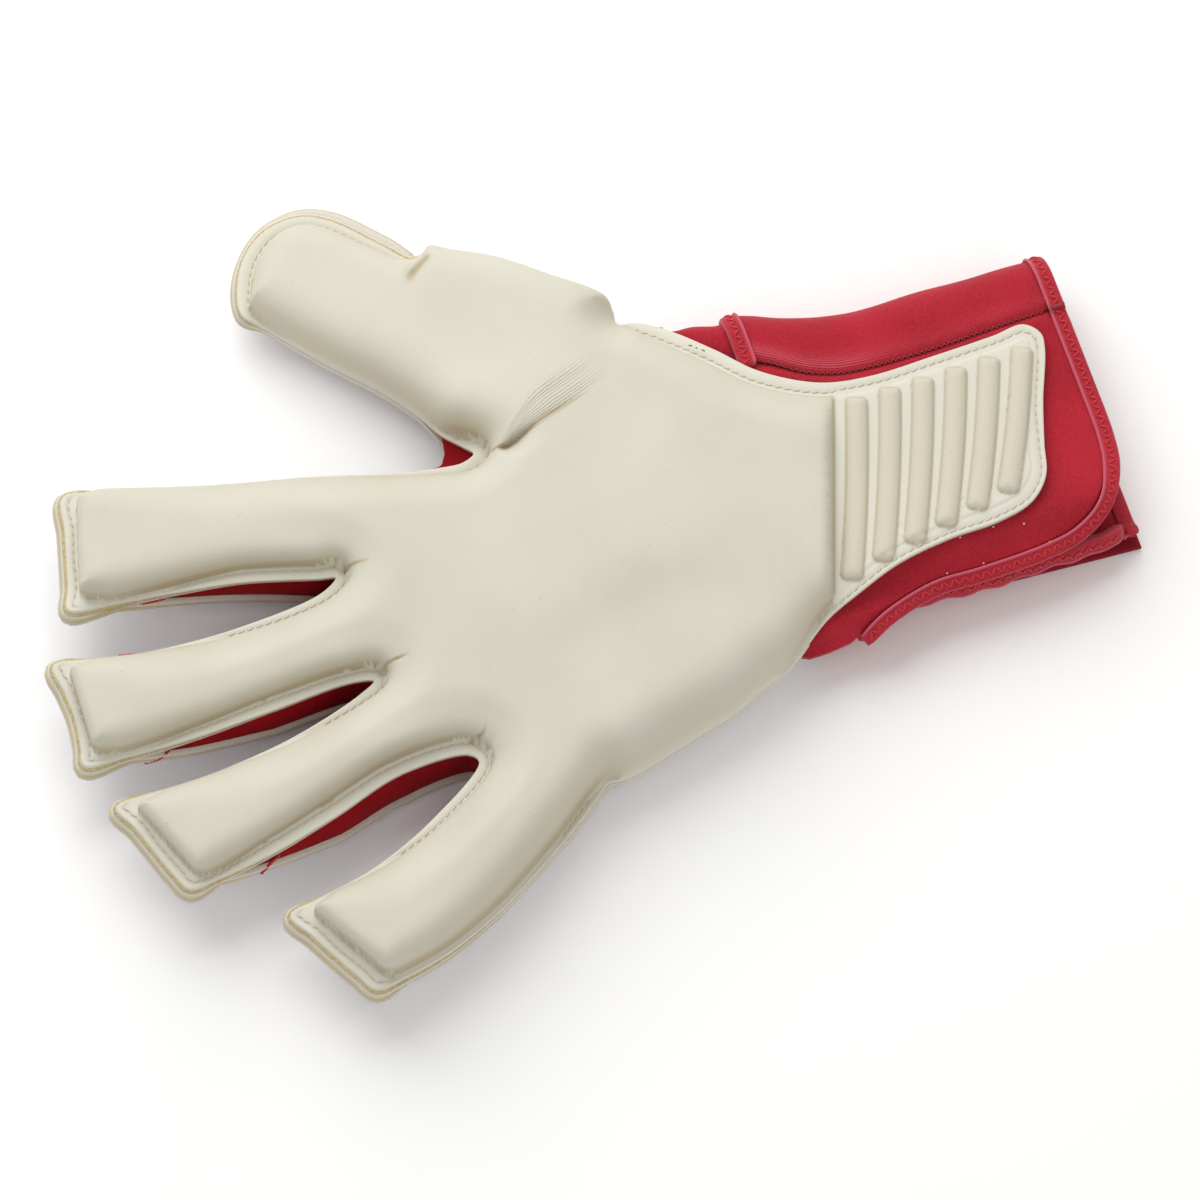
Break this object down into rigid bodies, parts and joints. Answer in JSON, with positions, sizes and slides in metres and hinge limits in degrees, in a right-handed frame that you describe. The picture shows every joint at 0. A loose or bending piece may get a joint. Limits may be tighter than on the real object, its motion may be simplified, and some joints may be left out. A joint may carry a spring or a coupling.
{
  "type": "goalkeeper glove",
  "caption": "Right-hand goalkeeper glove lying palm up, with thick latex palm pads, red gussets, a ribbed wrist tongue and a bound knit cuff.",
  "frame": {"origin": "middle of the glove's footprint, on the surface that it lies on", "axes": "+X to the thumb's side, +Y to the fingertips, +Z out of the palm and up from the surface"},
  "size_m": [0.2218, 0.2874, 0.0338],
  "materials": {
    "latex_palm": "smooth matte latex foam",
    "backhand_fabric": "matte laminated cloth",
    "gusset_fabric": "matte stretch mesh",
    "cuff_fabric": "matte fine knit over foam",
    "binding_tape": "folded woven tape",
    "strap_fabric": "smooth matte laminate"
  },
  "bodies": {
    "root": {"palm": "latex_palm", "backhand": "backhand_fabric", "gusset_thumb_index": "gusset_fabric", "gusset_index_middle": "gusset_fabric", "gusset_middle_ring": "gusset_fabric", "gusset_ring_little": "gusset_fabric", "wrist_panel": "cuff_fabric", "cuff_wrap": "cuff_fabric", "panel_binding": "binding_tape", "cuff_end_binding": "binding_tape", "wrap_hem": "binding_tape", "slit_binding": "binding_tape", "thumb_gore": "cuff_fabric", "closure_strap": "strap_fabric"}
  },
  "joints": []
}
